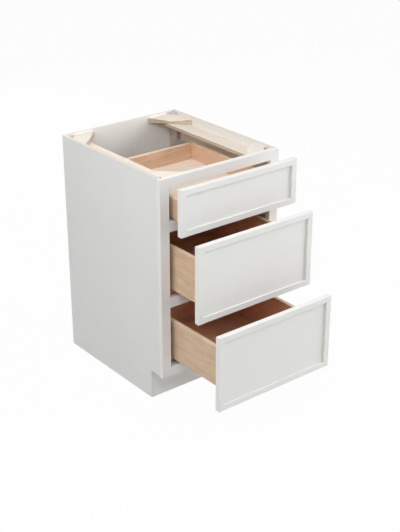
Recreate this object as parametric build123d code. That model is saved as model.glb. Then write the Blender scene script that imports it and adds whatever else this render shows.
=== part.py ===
"""Framed base cabinet with three drawers on undermount slides.

Millimetres. +X is the right hand of someone facing the drawers, +Z is up and -Y is the way the
drawers open. The origin is on the wall face of the back panel, at floor level, on the centre line.
"""
from build123d import *
import math
import os
from collections import namedtuple

os.makedirs("parts", exist_ok=True)

# ---------------------------------------------------------------- carcass
cabinet_width = 533.4
cabinet_depth = 609.6
toe_height = 114.3
toe_depth = 76.2
side_thickness = 12.7
side_inset = 4.7625  # each side panel stands in from the edge of the face frame
back_thickness = 6.35
floor_thickness = 12.7
toe_board_thickness = 12.7
dado_depth = 6.35
dado_clearance = 0.2  # short of the bottom of each dado

# ---------------------------------------------------------------- face frame
frame_thickness = 19.05
stile_width = 38.1
end_rail_height = 38.1
mid_rail_height = 38.1
tenon_length = 12.7
tenon_thickness = 6.35
tenon_shoulder = 6.35
tenon_end_clearance = 0.3

# ---------------------------------------------------------------- top of the carcass
plank_width = 69.85
plank_thickness = 12.7
block_drop = 7.9375  # from the rim of the cabinet down to the corner blocks
block_thickness = 20.6375
block_leg = 123.825
block_clip = 38.1

# ---------------------------------------------------------------- rear mounting strips
strip_thickness = 19.05
strip_width = 47.625
strip_hole_radius = 2.5
strip_hole_depth = 14.0
strip_hole_pitch = 32.0
strip_row_from_back = 16.0
strip_row_spacing = 15.0
strip_holes_per_row = 2  # in each of two staggered rows near the top slide

# ---------------------------------------------------------------- drawer fronts
front_thickness = 19.05
front_reveal = 7.9375  # face frame left showing round the fronts
front_gap = 3.175
front_member_width = 22.225
front_recess = 6.35
front_tongue_thickness = 6.35
front_tongue_length = 9.525
tongue_clearance = 0.8
front_eased_edge = 1.0

# ---------------------------------------------------------------- drawer boxes
box_side_gap = 17.45  # between the box and the stile, each side
box_rear_clearance = 86.45  # from a closed box to the back panel
box_wall = 15.875
box_bottom_thickness = 6.35
box_bottom_recess = 5.65  # below the bottom, inside the walls
box_groove_depth = 6.35
box_bottom_clearance = 0.4
box_edge_radius = 2.5
dovetail_pitch = 25.4
dovetail_width = 17.5
dovetail_angle = 9.0
dovetail_lap = 3.0  # left in front of the tails of a half-blind joint

# ---------------------------------------------------------------- screws
screw_radius = 2.0  # round the corners of a six-sided shank
screw_head_radius = 5.5
screw_head_height = 2.2
front_screw_bite = 9.5  # into the drawer front
front_screw_inset_x = 60.0
front_screw_inset_z = 20.0
slide_screw_head_radius = 4.0
slide_screw_head_height = 1.4
slide_screw_length = 14.0

# ---------------------------------------------------------------- slides
slide_overhang = 2.85  # by which the slides run on behind a closed box
slide_steel = 1.2
slide_bend_radius = 1.4  # on the middle of the steel
slide_gap = 0.5  # between two members that run in each other
slide_side_gap = 0.9
slide_catch = 1.7  # by which a lip reaches over the member that it holds down
slide_front_gap = 0.6
slide_setback = 3.2
slide_flange_height = 34.0
slide_side_clearance = 2.0  # between the tray and the inside of the drawer's side
drawer_member_width = 20.0
drawer_member_height = 8.2
drawer_member_foot = 2.6
rear_bracket_lap = 30.0
rear_bracket_edge = 9.0  # from the outer holes of the strip to the edges of the bracket
rear_bracket_shelf = 24.0
hook_tab_height = 16.0
hook_tab_corner = 4.0
hook_pin_radius = 2.75
hook_pin_length = 8.0
hook_pin_height = 9.0
hook_clearance = 0.3
notch_clearance = 1.0
ear_length = 22.0
ear_overlap = 11.0
clip_length = 58.0
clip_width = 26.0
clip_height = 5.2
clip_corner = 5.0
clip_clearance = 0.6
clip_lever_length = 30.0
clip_lever_width = 9.0
clip_lever_height = 10.0
clip_lever_tip = 7.0
clip_wheel_radius = 7.0
clip_wheel_height = 3.2

closed_gap = 1.2  # between the face frame and a closed front
edge_tolerance = 0.01  # either side of the plane that an edge is looked for in

# ---------------------------------------------------------------- the three drawers
deep_front_height = 285.75
top_front_height = 168.275
deep_box_lift = 24.0  # from the rail below up to the box
top_box_lift = 7.0
bottom_box_height = 152.4
middle_box_height = 165.1
top_box_height = 76.2
bottom_extension = 288.7  # from the face frame to the back of the front, as photographed
middle_extension = 177.1
top_extension = 86.0

Drawer = namedtuple("Drawer", "name front_height box_lift box_height extension")
drawers = [
    Drawer("bottom", deep_front_height, deep_box_lift, bottom_box_height, bottom_extension),
    Drawer("middle", deep_front_height, deep_box_lift, middle_box_height, middle_extension),
    Drawer("top", top_front_height, top_box_lift, top_box_height, top_extension),
]

# ---------------------------------------------------------------- places worked out from the sizes
cabinet_height = (
    toe_height
    + 2 * front_reveal
    + sum(d.front_height for d in drawers)
    + front_gap * (len(drawers) - 1)
)
half_width = cabinet_width / 2
side_out = half_width - side_inset
side_in = side_out - side_thickness
opening_half = half_width - stile_width
frame_front = -cabinet_depth
frame_back = frame_front + frame_thickness
back_front = -back_thickness
floor_top = toe_height + end_rail_height
floor_under = floor_top - floor_thickness
block_top = cabinet_height - block_drop
plank_top = block_top - block_thickness
plank_under = plank_top - plank_thickness
strip_in = side_in - strip_thickness
strip_front = back_front - strip_width
box_half = opening_half - box_side_gap
box_inner_half = box_half - box_wall
front_back = frame_front - closed_gap
front_face = front_back - front_thickness
front_half = half_width - front_reveal
box_front = front_back
box_back = back_front - box_rear_clearance
foot_half = drawer_member_width / 2 + drawer_member_foot
middle_half = foot_half + slide_side_gap + slide_steel
tray_half = middle_half + slide_gap + slide_steel
slide_centre = box_inner_half - slide_side_clearance - tray_half
slide_front = frame_back + slide_front_gap
slide_back = box_back + slide_overhang
middle_web = -drawer_member_height - slide_gap - slide_steel
middle_top = -drawer_member_height + 2 * slide_steel + slide_gap
tray_web = middle_web - slide_gap - slide_steel
tray_top = middle_top + slide_gap + slide_steel
LEFT, RIGHT = -1, 1


def block(x0, x1, y0, y1, z0, z1):
    """A rectangular piece between two opposite corners, given in any order."""
    size = Box(abs(x1 - x0), abs(y1 - y0), abs(z1 - z0))
    return Pos((x0 + x1) / 2, (y0 + y1) / 2, (z0 + z1) / 2) * size


def prism_x(points, x0, x1):
    """A piece with a Y-Z outline, between two X values."""
    outline = make_face(Polyline(*points, close=True))
    low = min(x0, x1)
    return Pos(low, 0, 0) * extrude(Plane.YZ * outline, abs(x1 - x0))


def prism_y(outline, y0, y1):
    """A piece with an X-Z section drawn as a sketch, running from y0 back to y1."""
    section = Plane((0, y1, 0), x_dir=(1, 0, 0), z_dir=(0, -1, 0)) * outline
    return extrude(section, y1 - y0)


def screw(length, head_radius, head_height):
    """A screw with few faces whose shank points down from the origin, under an eight-sided head."""
    shank = extrude(RegularPolygon(screw_radius, 6), -length)
    return shank + extrude(RegularPolygon(head_radius, 8), head_height)


def rod(x0, x1, y, z, radius):
    """A round piece or bore along X."""
    return Pos((x0 + x1) / 2, y, z) * Rot(0, 90, 0) * Cylinder(radius, abs(x1 - x0))


def rod_y(x, y0, y1, z, radius):
    """A round piece or bore along Y."""
    return Pos(x, (y0 + y1) / 2, z) * Rot(90, 0, 0) * Cylinder(radius, abs(y1 - y0))


def edges_at(edges, axis, at):
    """Those of the edges that lie in one plane square to an axis."""
    return edges.filter_by_position(axis, at - edge_tolerance, at + edge_tolerance)


def save(name, *solids):
    """Write one node; a group of alike pieces stays a set of separate solids."""
    shape = solids[0] if len(solids) == 1 else Compound(children=list(solids))
    export_step(shape, f"parts/{name}.step")


# ---------------------------------------------------------------- carcass pieces
def side_panel(hand):
    """Side with a toe notch, a tongue edge in the stile, a floor dado and a rabbet for the back."""
    front = frame_back - dado_depth + dado_clearance
    notch = frame_front + toe_depth
    outline = [
        (0, 0),
        (0, cabinet_height),
        (front, cabinet_height),
        (front, toe_height),
        (notch, toe_height),
        (notch, 0),
    ]
    panel = prism_x(outline, hand * side_in, hand * side_out)
    dado_end = hand * (side_in + dado_depth)
    panel -= block(hand * side_in, dado_end, frame_back, 0, floor_under, floor_top)
    panel -= block(hand * side_in, dado_end, back_front, 0, 0, cabinet_height)
    return panel


def back_panel():
    reach = side_in + dado_depth - dado_clearance
    return block(-reach, reach, back_front, 0, 0, cabinet_height)


def bottom_panel():
    reach = side_in + dado_depth - dado_clearance
    return block(-reach, reach, frame_back, back_front, floor_under, floor_top)


def toe_board():
    front = frame_front + toe_depth
    return block(-side_in, side_in, front, front + toe_board_thickness, 0, floor_under)


# ---------------------------------------------------------------- face frame
def rail_spans():
    """Bottom and top of each rail. The middle rails are centred on the gaps between the fronts."""
    spans = {"bottom": (toe_height, floor_top)}
    names = ["lower_mid", "upper_mid"]
    edge = toe_height + front_reveal
    for name, drawer in zip(names, drawers):
        edge += drawer.front_height
        centre = edge + front_gap / 2
        spans[name] = (centre - mid_rail_height / 2, centre + mid_rail_height / 2)
        edge += front_gap
    spans["top"] = (cabinet_height - end_rail_height, cabinet_height)
    return spans


def tenon(hand, z0, z1, clearance=0.0):
    """The stub at a rail's end, or with a clearance the mortise that it goes into."""
    middle = (frame_front + frame_back) / 2
    reach = opening_half + tenon_length + clearance
    return block(
        hand * opening_half,
        hand * reach,
        middle - tenon_thickness / 2,
        middle + tenon_thickness / 2,
        z0 + tenon_shoulder,
        z1 - tenon_shoulder,
    )


def rail(z0, z1):
    piece = block(-opening_half, opening_half, frame_front, frame_back, z0, z1)
    return piece + tenon(LEFT, z0, z1) + tenon(RIGHT, z0, z1)


def stile(hand, spans):
    piece = block(
        hand * opening_half, hand * half_width, frame_front, frame_back, toe_height, cabinet_height
    )
    for z0, z1 in spans.values():
        piece -= tenon(hand, z0, z1, tenon_end_clearance)
    groove_front = frame_back - dado_depth
    piece -= block(
        hand * side_in, hand * side_out, groove_front, frame_back, toe_height, cabinet_height
    )
    return piece


# ---------------------------------------------------------------- top of the carcass
def side_plank(hand):
    inner = hand * (side_in - plank_width)
    return block(hand * side_in, inner, frame_back, back_front, plank_under, plank_top)


def corner_block(hand, y_wall, inward):
    """A mitred block across a corner; it leaves a small triangle open in the corner itself."""
    points = [
        (hand * (side_in - block_clip), y_wall),
        (hand * (side_in - block_leg), y_wall),
        (hand * side_in, y_wall + inward * block_leg),
        (hand * side_in, y_wall + inward * block_clip),
    ]
    outline = make_face(Polyline(*points, close=True))
    return Pos(0, 0, plank_top) * extrude(outline, block_thickness, dir=(0, 0, 1))


# ---------------------------------------------------------------- drawer layout
def front_bottom(index):
    """Height of a front's lower edge."""
    below = sum(d.front_height + front_gap for d in drawers[:index])
    return toe_height + front_reveal + below


def opening_bottom(index, spans):
    """Top of the rail below a drawer."""
    return list(spans.values())[index][1]


def shift(drawer):
    """How far a drawer stands out from its closed place."""
    return drawer.extension - closed_gap


# ---------------------------------------------------------------- five-piece drawer front
def front_groove(z0, z1):
    """Grooves round the inside of the frame, as one solid to be cut from it."""
    deep = front_member_width - front_tongue_length
    x = half_width - front_reveal - deep
    y = front_face + front_recess
    return block(-x, x, y, y + front_tongue_thickness, z0 + deep, z1 - deep)


def ease_front(piece, axis, at):
    """Break the edge of a front's face that runs at the given X or Z."""
    edges = edges_at(edges_at(piece.edges(), Axis.Y, front_face), axis, at)
    return chamfer(edges, front_eased_edge)


def front_pieces(z0, z1):
    """Stiles, rails and panel of one front in its closed place."""
    w = front_member_width
    inner = front_half - w
    groove_y = front_face + front_recess
    groove_end = groove_y + front_tongue_thickness
    groove = front_groove(z0, z1)
    stiles = []
    for hand in (LEFT, RIGHT):
        piece = block(hand * inner, hand * front_half, front_face, front_back, z0, z1)
        piece -= block(
            hand * inner, hand * (inner + front_tongue_length), groove_y, groove_end, z0, z1
        )
        stiles.append(ease_front(piece, Axis.X, hand * front_half))
    rails = []
    stub = inner + front_tongue_length
    for low, high in ((z0, z0 + w), (z1 - w, z1)):
        piece = block(-inner, inner, front_face, front_back, low, high)
        piece += block(-stub, stub, groove_y, groove_end, low, high)
        rails.append(ease_front(piece - groove, Axis.Z, z0 if low == z0 else z1))
    tongue_x = stub - tongue_clearance
    tongue_z = w - front_tongue_length + tongue_clearance
    panel = block(-inner, inner, groove_y, front_back, z0 + w, z1 - w)
    panel += block(-tongue_x, tongue_x, groove_y, groove_end, z0 + tongue_z, z1 - tongue_z)
    return stiles, rails, panel


# ---------------------------------------------------------------- dovetailed box
def tail_outlines(shoulder, outward, z0, height):
    """Y-Z outlines of the tails at one end of a side; outward is -1 at the front, +1 at the back."""
    length = box_wall - dovetail_lap
    flare = length * math.tan(math.radians(dovetail_angle))
    count = int(height // dovetail_pitch)
    margin = (height - count * dovetail_pitch) / 2
    outlines = []
    for i in range(count):
        middle = z0 + margin + (i + 0.5) * dovetail_pitch
        wide = dovetail_width / 2
        narrow = wide - flare
        tip = shoulder + outward * length
        outlines.append(
            [
                (shoulder, middle - narrow),
                (tip, middle - wide),
                (tip, middle + wide),
                (shoulder, middle + narrow),
            ]
        )
    return outlines


def tails(hand, z0, height):
    """All tails of one side, as solids that the side keeps and the ends lose."""
    solids = []
    for shoulder, outward in ((box_front + box_wall, -1), (box_back - box_wall, 1)):
        for outline in tail_outlines(shoulder, outward, z0, height):
            solids.append(prism_x(outline, hand * box_inner_half, hand * box_half))
    return solids


def round_top(piece, z):
    """Round the long top edges of a box wall."""
    across = edges_at(piece.edges(), Axis.Z, z)
    return fillet([e for e in across if e.length > box_wall + edge_tolerance], box_edge_radius)


def bottom_pocket(z_under):
    """The groove round the inside of the box, as one solid."""
    reach = box_inner_half + box_groove_depth
    y0 = box_front + box_wall - box_groove_depth
    y1 = box_back - box_wall + box_groove_depth
    return block(-reach, reach, y0, y1, z_under, z_under + box_bottom_thickness)


def box_pieces(z0, height):
    """Front, back, two sides and bottom of one box in its closed place."""
    z1 = z0 + height
    z_under = z0 + box_bottom_recess
    pocket = bottom_pocket(z_under)
    front = round_top(block(-box_half, box_half, box_front, box_front + box_wall, z0, z1), z1)
    back = round_top(block(-box_half, box_half, box_back - box_wall, box_back, z0, z1), z1)
    sides = []
    for hand in (LEFT, RIGHT):
        side = block(
            hand * box_inner_half,
            hand * box_half,
            box_front + box_wall,
            box_back - box_wall,
            z0,
            z1,
        )
        side = round_top(side, z1)
        for tail in tails(hand, z0, height):
            side += tail
            front -= tail
            back -= tail
        sides.append(side - pocket)
    front -= pocket
    back -= pocket
    for hand in (LEFT, RIGHT):
        back -= block(
            hand * (slide_centre - tray_half - notch_clearance),
            hand * box_inner_half,
            box_back - box_wall,
            box_back,
            z0,
            z_under + hook_clearance,
        )
        back -= rod_y(
            hand * slide_centre,
            box_back - hook_pin_length - hook_clearance,
            box_back,
            z_under + hook_pin_height,
            hook_pin_radius + hook_clearance,
        )
    reach = box_inner_half + box_groove_depth - box_bottom_clearance
    y0 = box_front + box_wall - box_groove_depth + box_bottom_clearance
    y1 = box_back - box_wall + box_groove_depth - box_bottom_clearance
    bottom = block(-reach, reach, y0, y1, z_under, z_under + box_bottom_thickness)
    return front, back, sides, bottom


def front_screws(z0, height):
    """Four screws from inside the box, through its front, into the drawer front."""
    one = screw(box_wall + front_screw_bite, screw_head_radius, screw_head_height)
    x = box_inner_half - front_screw_inset_x
    low = z0 + box_bottom_recess + box_bottom_thickness + front_screw_inset_z
    high = z0 + height - front_screw_inset_z
    places = [(hand * x, z) for hand in (LEFT, RIGHT) for z in (low, high)]
    return [Pos(x, box_front + box_wall, z) * Rot(-90, 0, 0) * one for x, z in places]


# ---------------------------------------------------------------- slides
def folded_strip(points, first_bend=0.0):
    """Section of a steel strip folded along the middle of its thickness, with one round bend."""
    radii = [first_bend] + [0.0] * (len(points) - 3)
    return trace(FilletPolyline(*points, radius=radii), slide_steel)


def drawer_member(hand, z_under):
    """Hat section under the drawer's bottom, with a hook at the rear that enters the back."""
    x = (drawer_member_width - slide_steel) / 2
    top = -slide_steel / 2
    low = slide_steel / 2 - drawer_member_height
    hat = folded_strip([(-foot_half, low), (-x, low), (-x, top), (x, top), (x, low), (foot_half, low)])
    front = box_front + box_wall + slide_front_gap
    member = prism_y(Pos(hand * slide_centre, z_under) * hat, front, box_back)
    tab = Rectangle(drawer_member_width, hook_tab_height + slide_steel)
    tab = chamfer(tab.vertices().group_by(Axis.Y)[-1], hook_tab_corner)
    tab_middle = z_under + (hook_tab_height - slide_steel) / 2
    member += prism_y(Pos(hand * slide_centre, tab_middle) * tab, box_back, box_back + slide_steel)
    pin_z = z_under + hook_pin_height
    member += rod_y(
        hand * slide_centre, box_back - hook_pin_length, box_back, pin_z, hook_pin_radius
    )
    return member + front_ear(hand, z_under)


def front_ear(hand, z_under):
    """Tab of the drawer member's web that reaches over the tray to the locking clip."""
    tip = slide_centre - tray_half - clip_clearance - ear_overlap
    front = box_front + box_wall + slide_front_gap
    return block(
        hand * slide_centre, hand * tip, front, front + ear_length, z_under - slide_steel, z_under
    )


def middle_member(hand, z_under):
    """Channel whose lips hold down the feet of the drawer member."""
    x = middle_half - slide_steel / 2
    lip = foot_half - slide_catch
    low = middle_web + slide_steel / 2
    top = middle_top - slide_steel / 2
    channel = folded_strip([(-lip, top), (-x, top), (-x, low), (x, low), (x, top), (lip, top)])
    return prism_y(Pos(hand * slide_centre, z_under) * channel, slide_front, slide_back)


def cabinet_member(hand, z_under):
    """Lipped tray under the drawer, an arm below the drawer's side and a flange on the stile."""
    x = tray_half - slide_steel / 2
    lip = middle_half - slide_catch
    low = tray_web + slide_steel / 2
    top = tray_top - slide_steel / 2
    flange_x = opening_half - slide_centre - slide_steel / 2
    flange_top = tray_web + slide_flange_height
    fold = [(flange_x, flange_top), (flange_x, low), (-x, low), (-x, top), (-lip, top)]
    wall = [(x, low), (x, top), (lip, top)]
    section = folded_strip([(hand * a, b) for a, b in fold], slide_bend_radius)
    section += folded_strip([(hand * a, b) for a, b in wall])
    member = prism_y(Pos(hand * slide_centre, z_under) * section, slide_front, slide_back)
    return member + block(
        hand * (opening_half - slide_steel),
        hand * opening_half,
        frame_front + slide_setback,
        slide_front,
        z_under + low + slide_bend_radius,
        z_under + flange_top,
    )


def flange_middle(z_under):
    """Height of the middle of the slide's flange, where the 32 mm holes start."""
    return z_under + tray_web + slide_flange_height / 2


def slide_screws(hand, z_under):
    """The screw through the flange into the stile, and the one through the bracket into the strip."""
    one = Rot(0, -90 * hand, 0) * screw(
        slide_screw_length, slide_screw_head_radius, slide_screw_head_height
    )
    z = flange_middle(z_under)
    stile_y = (frame_front + slide_setback + frame_back) / 2
    row_y = back_front - strip_row_from_back - strip_row_spacing
    return [
        Pos(hand * (opening_half - slide_steel), stile_y, z) * one,
        Pos(hand * opening_half, row_y, z + strip_hole_pitch) * one,
    ]


def rear_bracket(hand, z_under):
    """Angle behind the flange, fixed to the mounting strip, with a shelf under the slide's arm."""
    thickness = strip_in - opening_half
    x = (strip_in + opening_half) / 2
    top = flange_middle(z_under) + strip_hole_pitch + rear_bracket_edge
    shelf = z_under + tray_web - thickness / 2
    fold = [(hand * x, top), (hand * x, shelf), (hand * (x - rear_bracket_shelf), shelf)]
    angle = trace(Polyline(*fold), thickness)
    row_y = back_front - strip_row_from_back - strip_row_spacing
    return prism_y(angle, slide_back - rear_bracket_lap, row_y + rear_bracket_edge)


def strip_holes(hand, z_under):
    """Bored holes of a mounting strip near one slide, in two staggered rows."""
    holes = []
    for row, stagger in enumerate((strip_hole_pitch / 2, 0)):
        y = back_front - strip_row_from_back - row * strip_row_spacing
        first = flange_middle(z_under) + stagger
        for i in range(strip_holes_per_row):
            z = first + i * strip_hole_pitch
            bottom = strip_in + strip_hole_depth
            holes.append(rod(hand * strip_in, hand * bottom, y, z, strip_hole_radius))
    return holes


def mounting_strip(hand, z_under):
    """Strip behind the slides, with the bored holes that show near the top one."""
    strip = block(
        hand * strip_in, hand * side_in, strip_front, back_front, floor_top, plank_under
    )
    for hole in strip_holes(hand, z_under):
        strip -= hole
    return strip


def locking_clip(hand, z_under):
    """Plastic clip under the drawer's front corner, with a release lever and a height wheel."""
    outer = slide_centre - tray_half - clip_clearance
    inner = outer - clip_width
    front = box_front + box_wall
    middle = hand * (inner + outer) / 2
    plan = Pos(middle, front + clip_length / 2) * RectangleRounded(clip_width, clip_length, clip_corner)
    clip = Pos(0, 0, z_under - clip_height) * extrude(plan, clip_height)
    lever = [
        (front, z_under),
        (front, z_under - clip_lever_height),
        (front + clip_lever_tip, z_under - clip_lever_height),
        (front + clip_lever_length, z_under - clip_height),
        (front + clip_lever_length, z_under),
    ]
    clip += prism_x(lever, hand * inner, hand * (inner + clip_lever_width))
    wheel_y = front + clip_length - clip_width / 2
    wheel_z = z_under - clip_height - clip_wheel_height / 2
    clip += Pos(middle, wheel_y, wheel_z) * Cylinder(clip_wheel_radius, clip_wheel_height)
    return clip - front_ear(hand, z_under)


# ---------------------------------------------------------------- build
rails = rail_spans()
levels = [
    opening_bottom(i, rails) + d.box_lift + box_bottom_recess for i, d in enumerate(drawers)
]

slide_fasteners = []
brackets = []
for name, hand in (("left", LEFT), ("right", RIGHT)):
    screws = [one for z_under in levels for one in slide_screws(hand, z_under)]
    slide_fasteners += screws
    brackets += [rear_bracket(hand, z_under) - screws for z_under in levels]
    save(f"side_panel_{name}", side_panel(hand))
    save(f"side_plank_{name}", side_plank(hand))
    save(f"corner_block_front_{name}", corner_block(hand, frame_back, 1))
    save(f"corner_block_rear_{name}", corner_block(hand, back_front, -1))
    save(f"mounting_strip_{name}", mounting_strip(hand, levels[-1]) - screws)
    save(f"frame_stile_{name}", stile(hand, rails) - screws)
save("back_panel", back_panel())
save("bottom_panel", bottom_panel())
save("toe_kick_board", toe_board())
for name, (low, high) in rails.items():
    save(f"frame_{name}_rail", rail(low, high))

for index, drawer in enumerate(drawers):
    out = Pos(0, -shift(drawer), 0)
    half_out = Pos(0, -shift(drawer) / 2, 0)
    low = front_bottom(index)
    z0 = opening_bottom(index, rails) + drawer.box_lift
    z_under = levels[index]
    screws = front_screws(z0, drawer.box_height)

    stiles, front_rails, panel = front_pieces(low, low + drawer.front_height)
    save(f"{drawer.name}_front_stiles", *[out * s for s in stiles])
    save(f"{drawer.name}_front_rails", *[out * r for r in front_rails])
    save(f"{drawer.name}_front_panel", out * (panel - screws))
    save(f"{drawer.name}_front_screws", *[out * one for one in screws])

    front, back, sides, bottom = box_pieces(z0, drawer.box_height)
    save(f"{drawer.name}_box_front", out * (front - screws))
    save(f"{drawer.name}_box_back", out * back)
    save(f"{drawer.name}_box_side_left", out * sides[0])
    save(f"{drawer.name}_box_side_right", out * sides[1])
    save(f"{drawer.name}_box_bottom", out * bottom)

    pair = (LEFT, RIGHT)
    save(
        f"{drawer.name}_slide_cabinet_members",
        *[cabinet_member(h, z_under) - slide_screws(h, z_under) for h in pair],
    )
    save(f"{drawer.name}_slide_middle_members", *[half_out * middle_member(h, z_under) for h in pair])
    save(f"{drawer.name}_slide_drawer_members", *[out * drawer_member(h, z_under) for h in pair])
    save(f"{drawer.name}_locking_clips", *[out * locking_clip(h, z_under) for h in pair])
save("slide_rear_brackets", *brackets)
save("slide_screws", *slide_fasteners)
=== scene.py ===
"""Looks of a framed base cabinet with three drawers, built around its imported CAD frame.

Laid out as a Blender add-on and run as a script. Property groups hold the sizes and colours that a
user would change, one operator dresses or builds each group of pieces, and a panel lists them.
Lengths are in metres, in the frame of the CAD: +X is the right hand of someone facing the drawers,
the drawers open towards -Y, +Z is up and the wall is at y = 0.
"""

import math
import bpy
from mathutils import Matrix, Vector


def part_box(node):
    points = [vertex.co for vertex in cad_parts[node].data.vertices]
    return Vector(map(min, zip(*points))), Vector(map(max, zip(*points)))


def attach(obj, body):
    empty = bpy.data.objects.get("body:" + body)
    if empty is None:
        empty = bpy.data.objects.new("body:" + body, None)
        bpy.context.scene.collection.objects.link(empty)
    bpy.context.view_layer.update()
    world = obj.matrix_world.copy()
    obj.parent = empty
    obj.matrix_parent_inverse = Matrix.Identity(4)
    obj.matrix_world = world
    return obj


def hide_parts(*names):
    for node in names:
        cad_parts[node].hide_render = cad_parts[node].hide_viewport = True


bl_info = {
    "name": "Three-drawer base cabinet",
    "version": (1, 0, 0),
    "blender": (4, 5, 0),
    "location": "View3D > Sidebar > Cabinet",
    "description": "Dresses a framed base cabinet with three drawers and lights it in a studio",
    "category": "Object",
}

import bmesh
import bpy
import numpy as np
from bpy.props import FloatProperty, FloatVectorProperty, IntProperty, PointerProperty
from mathutils import Vector

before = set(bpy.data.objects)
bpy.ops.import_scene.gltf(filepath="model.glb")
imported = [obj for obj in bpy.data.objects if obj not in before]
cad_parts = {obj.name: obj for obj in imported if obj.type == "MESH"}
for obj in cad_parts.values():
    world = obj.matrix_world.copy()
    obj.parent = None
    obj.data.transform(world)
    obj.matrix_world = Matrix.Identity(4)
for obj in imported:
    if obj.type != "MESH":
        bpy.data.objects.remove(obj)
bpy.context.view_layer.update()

MM = 0.001
DRAWERS = ("top", "middle", "bottom")
HANDS = (("left", -1), ("right", 1))
AXES = "XYZ"
SKIN = 0.1 * MM  # a face is told from the wood behind it at this depth
SIDE_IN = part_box("side_panel_right")[0].x
SIDE_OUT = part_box("side_panel_right")[1].x
PLANK_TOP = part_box("side_plank_right")[1].z
TOE_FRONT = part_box("toe_kick_board")[0].y
TOE_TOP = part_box("frame_bottom_rail")[0].z
# the slides are screwed in the middle of their flanges, and to holes of the 32 mm system behind
FLANGE_MIDDLE = 17 * MM
FLANGE_STEEL = 1.2 * MM
HOLE_PITCH = 32 * MM
SLIDE_SCREW_LENGTH = 14 * MM
# sockets of the colour mix node, which has one set for each kind of value
FACTOR, FIRST, SECOND, MIXED = 0, 6, 7, 2
WHITE = (1.0, 1.0, 1.0)
COAT_IOR = 1.5  # of lacquer, clear coat, sanded wood and cast polyurethane
NYLON_IOR = 1.53
FACING = 0.6  # part of its normal along an axis past which a face counts as facing along it
EASED_ANGLE = math.radians(40)  # board edges sharper than this are eased
SHARP_ANGLE = math.radians(38)  # edges of new pieces sharper than this aren't smoothed
CORNER_CUT = 0.4  # share of the inner half width that tells the corner blocks' outer cuts
WELD_DISTANCE = 0.001 * MM  # closer points are one and the same
SCREW_TURN = 0.6  # by which each screw's recess is turned from the one before, in radians

# widths of what the patterns draw; the real size follows where it is too fine for a render
FIGURE_WIDTH = 38 * MM
PLY_FIGURE_WIDTH = 46 * MM
BACK_FIGURE_WIDTH = 60 * MM
CURL_WIDTH = 42 * MM
FIBRE_WIDTH = 2.6 * MM  # real fibres and pores are about 0.1 mm wide
MOTTLE_WIDTH = 3 * MM
PAINT_DRIFT = 160 * MM
ORANGE_PEEL = 3 * MM  # about 1.5 mm in real lacquer
SPANGLE = 5 * MM  # real crystals of bright zinc are under 1 mm across
ROLLING_LINE = 0.8 * MM  # about 0.05 mm in real rolled steel
PEBBLE = 0.9 * MM  # about 0.1 mm on a real mould
HAZE_WIDTH = 2 * MM
# how many times longer than wide they are along the grain, along the plies and as rolled
FIGURE_STRETCH = 11.0
FIBRE_STRETCH = 26.0
MOTTLE_STRETCH = 4.0
ROLLING_STRETCH = 50.0
# depths of what stands out or is sunk in the surfaces
PEEL_DEPTH = 0.02 * MM
COATED_FIBRE_DEPTH = 0.03 * MM
MAPLE_FIBRE_DEPTH = 0.04 * MM
SANDED_FIBRE_DEPTH = 0.05 * MM
PEBBLE_DEPTH = 0.04 * MM
POLISH_DEPTH = 0.01 * MM
# thickness of one ply in each kind of board
PANEL_PLY = 2.1 * MM
THIN_PLY = 1.6 * MM  # of the back and the drawers' floors
STRIP_PLY = 2.4 * MM
BLOCK_PLY = 2.6 * MM

# place, target and size of each softbox, whose power is a property of the studio
SOFTBOXES = {
    "above": ((-0.2, -0.8, 3.6), (0.0, -0.3, 0.4), (2.6, 2.4)),
    "right": ((3.4, -2.2, 1.6), (0.0, -0.5, 0.5), (2.2, 2.2)),
    "near": ((-1.4, -2.2, 2.4), (0.0, -0.4, 0.6), (1.4, 1.2)),
    "left": ((-2.1, -0.7, 2.3), (0.0, -0.4, 0.6), (1.4, 1.4)),
    "back": ((0.5, 3.4, 1.5), (0.0, 0.0, 0.4), (2.4, 2.0)),
}
CAMERA_PLACE = (-2.31558, -3.38947, 2.16776)
CAMERA_YAW = math.radians(-38.61)
CAMERA_PITCH = math.radians(-24.92)


# ------------------------ colours and nodes
def linear(code):
    """An sRGB hex value as linear numbers: c / 12.92 if dark, else ((c + 0.055) / 1.055) ^ 2.4."""
    values = np.array([int(code[i : i + 2], 16) for i in (0, 2, 4)]) / 255
    bent = np.where(values <= 0.04045, values / 12.92, ((values + 0.055) / 1.055) ** 2.4)
    return tuple(float(value) for value in bent)


def opaque(colour):
    """Three colour numbers with an alpha of one, as a colour socket takes them."""
    return (*colour, 1.0)


def add(tree, kind, sockets=None, **settings):
    """Add a node, set its attributes, and give each named socket a value or a link."""
    made = tree.nodes.new(kind)
    for name, value in settings.items():
        setattr(made, name, value)
    for name, value in (sockets or {}).items():
        if isinstance(value, bpy.types.NodeSocket):
            tree.links.new(value, made.inputs[name])
        else:
            made.inputs[name].default_value = value
    return made


def new_material(name):
    """A new material, its tree, and the outputs of its Object coordinates and of its normal."""
    material = bpy.data.materials.new(name)
    material.use_nodes = True
    tree = material.node_tree
    tree.nodes.clear()
    source = add(tree, "ShaderNodeTexCoord")
    return material, tree, source.outputs["Object"], source.outputs["Normal"]


def close(tree, colour, height, depth, shader):
    """End a material in one shader, with its colour, a bump of the given depth and its own values."""
    bump = add(tree, "ShaderNodeBump", {"Strength": 1.0, "Distance": depth, "Height": height})
    sockets = {"Base Color": colour, "Normal": bump.outputs["Normal"], **shader}
    made = add(tree, "ShaderNodeBsdfPrincipled", sockets)
    add(tree, "ShaderNodeOutputMaterial", {"Surface": made.outputs["BSDF"]})


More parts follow.
